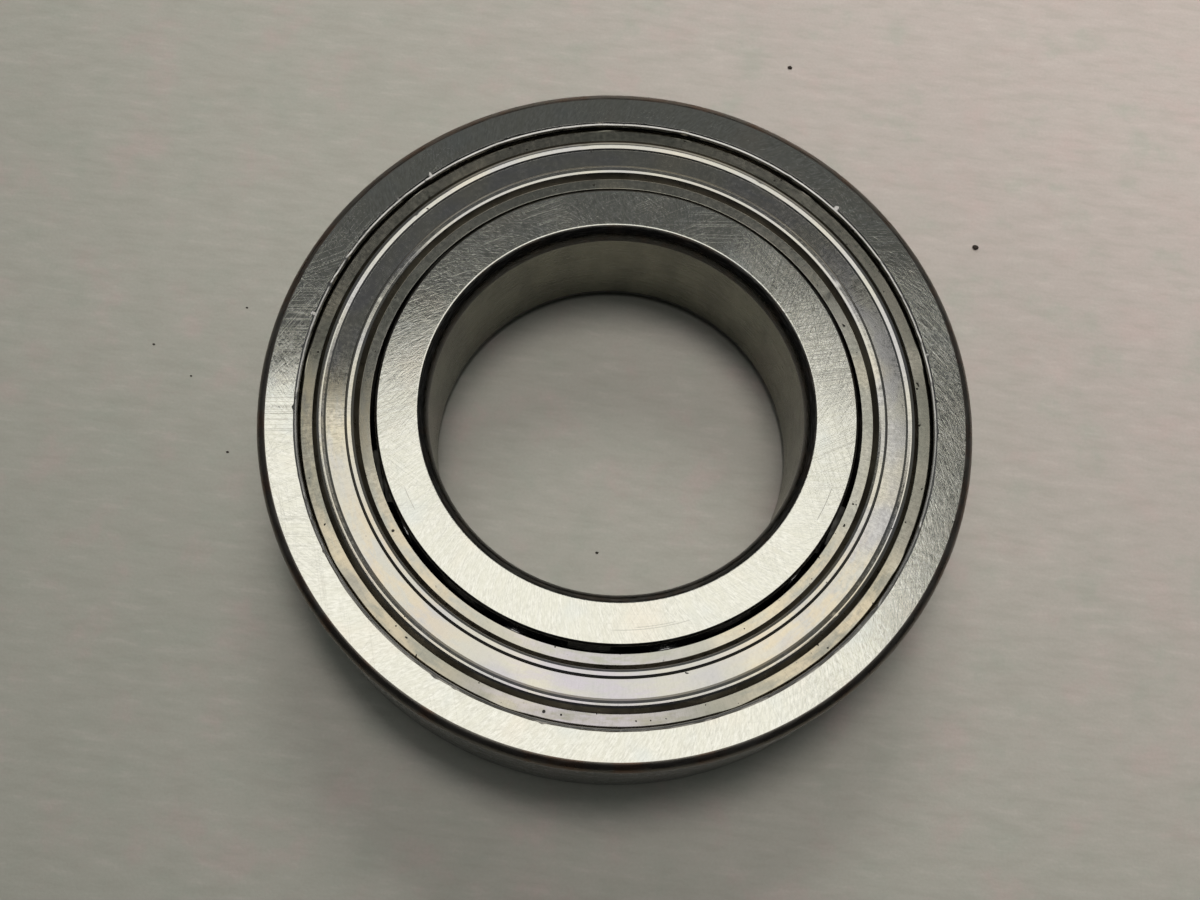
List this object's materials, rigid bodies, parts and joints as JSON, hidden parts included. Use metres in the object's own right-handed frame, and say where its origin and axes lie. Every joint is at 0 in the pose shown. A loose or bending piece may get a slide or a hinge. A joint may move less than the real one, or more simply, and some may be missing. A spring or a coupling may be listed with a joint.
{
  "type": "ball bearing",
  "caption": "Deep-groove ball bearing with ground steel rings, a pressed-metal shield on each side, and balls in a riveted ribbon cage.",
  "frame": {"origin": "centre of the bore at mid-width", "axes": "+Z along the bearing's axis, out of the front face; X and Y across it, with the first ball on +X"},
  "size_m": [0.085, 0.085, 0.019],
  "materials": {
    "ring_steel": "ground bearing steel with fine near-radial grind marks on the faces",
    "shield_steel": "pressed bright sheet steel, satin",
    "cage_steel": "pressed sheet steel, dull",
    "ball_steel": "polished bearing steel",
    "rivet_steel": "plain steel wire, closed head"
  },
  "bodies": {
    "outer_ring": {"outer_ring": "ring_steel", "shield_front": "shield_steel", "shield_back": "shield_steel"},
    "inner_ring": {"inner_ring": "ring_steel"},
    "cage": {"cage_half_front": "cage_steel", "cage_half_back": "cage_steel", "rivet_01": "rivet_steel", "rivet_02": "rivet_steel", "rivet_03": "rivet_steel", "rivet_04": "rivet_steel", "rivet_05": "rivet_steel", "rivet_06": "rivet_steel", "rivet_07": "rivet_steel", "rivet_08": "rivet_steel", "rivet_09": "rivet_steel", "rivet_10": "rivet_steel"},
    "ball_01": {"ball_01": "ball_steel"},
    "ball_02": {"ball_02": "ball_steel"},
    "ball_03": {"ball_03": "ball_steel"},
    "ball_04": {"ball_04": "ball_steel"},
    "ball_05": {"ball_05": "ball_steel"},
    "ball_06": {"ball_06": "ball_steel"},
    "ball_07": {"ball_07": "ball_steel"},
    "ball_08": {"ball_08": "ball_steel"},
    "ball_09": {"ball_09": "ball_steel"},
    "ball_10": {"ball_10": "ball_steel"}
  },
  "joints": [
    {"name": "inner_ring_spin", "type": "hinge", "parent": "outer_ring", "child": "inner_ring", "pos_m": [0, 0, 0], "axis": [0, 0, 1], "continuous": true},
    {"name": "cage_orbit", "type": "hinge", "parent": "outer_ring", "child": "cage", "pos_m": [0, 0, 0], "axis": [0, 0, 1], "continuous": true},
    {"name": "ball_01_spin", "type": "hinge", "parent": "cage", "child": "ball_01", "pos_m": [0.0325, 0, 0], "axis": [0, 0, 1], "continuous": true},
    {"name": "ball_02_spin", "type": "hinge", "parent": "cage", "child": "ball_02", "pos_m": [0.02629, 0.0191, 0], "axis": [0, 0, 1], "continuous": true},
    {"name": "ball_03_spin", "type": "hinge", "parent": "cage", "child": "ball_03", "pos_m": [0.01004, 0.03091, 0], "axis": [0, 0, 1], "continuous": true},
    {"name": "ball_04_spin", "type": "hinge", "parent": "cage", "child": "ball_04", "pos_m": [-0.01004, 0.03091, 0], "axis": [0, 0, 1], "continuous": true},
    {"name": "ball_05_spin", "type": "hinge", "parent": "cage", "child": "ball_05", "pos_m": [-0.02629, 0.0191, 0], "axis": [0, 0, 1], "continuous": true},
    {"name": "ball_06_spin", "type": "hinge", "parent": "cage", "child": "ball_06", "pos_m": [-0.0325, 0, 0], "axis": [0, 0, 1], "continuous": true},
    {"name": "ball_07_spin", "type": "hinge", "parent": "cage", "child": "ball_07", "pos_m": [-0.02629, -0.0191, 0], "axis": [0, 0, 1], "continuous": true},
    {"name": "ball_08_spin", "type": "hinge", "parent": "cage", "child": "ball_08", "pos_m": [-0.01004, -0.03091, 0], "axis": [0, 0, 1], "continuous": true},
    {"name": "ball_09_spin", "type": "hinge", "parent": "cage", "child": "ball_09", "pos_m": [0.01004, -0.03091, 0], "axis": [0, 0, 1], "continuous": true},
    {"name": "ball_10_spin", "type": "hinge", "parent": "cage", "child": "ball_10", "pos_m": [0.02629, -0.0191, 0], "axis": [0, 0, 1], "continuous": true}
  ],
  "couplings": [
    {"joint": "cage_orbit", "follows": "inner_ring_spin", "ratio": 0.40231},
    {"joint": "ball_01_spin", "follows": "inner_ring_spin", "ratio": -2.4614},
    {"joint": "ball_02_spin", "follows": "inner_ring_spin", "ratio": -2.4614},
    {"joint": "ball_03_spin", "follows": "inner_ring_spin", "ratio": -2.4614},
    {"joint": "ball_04_spin", "follows": "inner_ring_spin", "ratio": -2.4614},
    {"joint": "ball_05_spin", "follows": "inner_ring_spin", "ratio": -2.4614},
    {"joint": "ball_06_spin", "follows": "inner_ring_spin", "ratio": -2.4614},
    {"joint": "ball_07_spin", "follows": "inner_ring_spin", "ratio": -2.4614},
    {"joint": "ball_08_spin", "follows": "inner_ring_spin", "ratio": -2.4614},
    {"joint": "ball_09_spin", "follows": "inner_ring_spin", "ratio": -2.4614},
    {"joint": "ball_10_spin", "follows": "inner_ring_spin", "ratio": -2.4614}
  ]
}
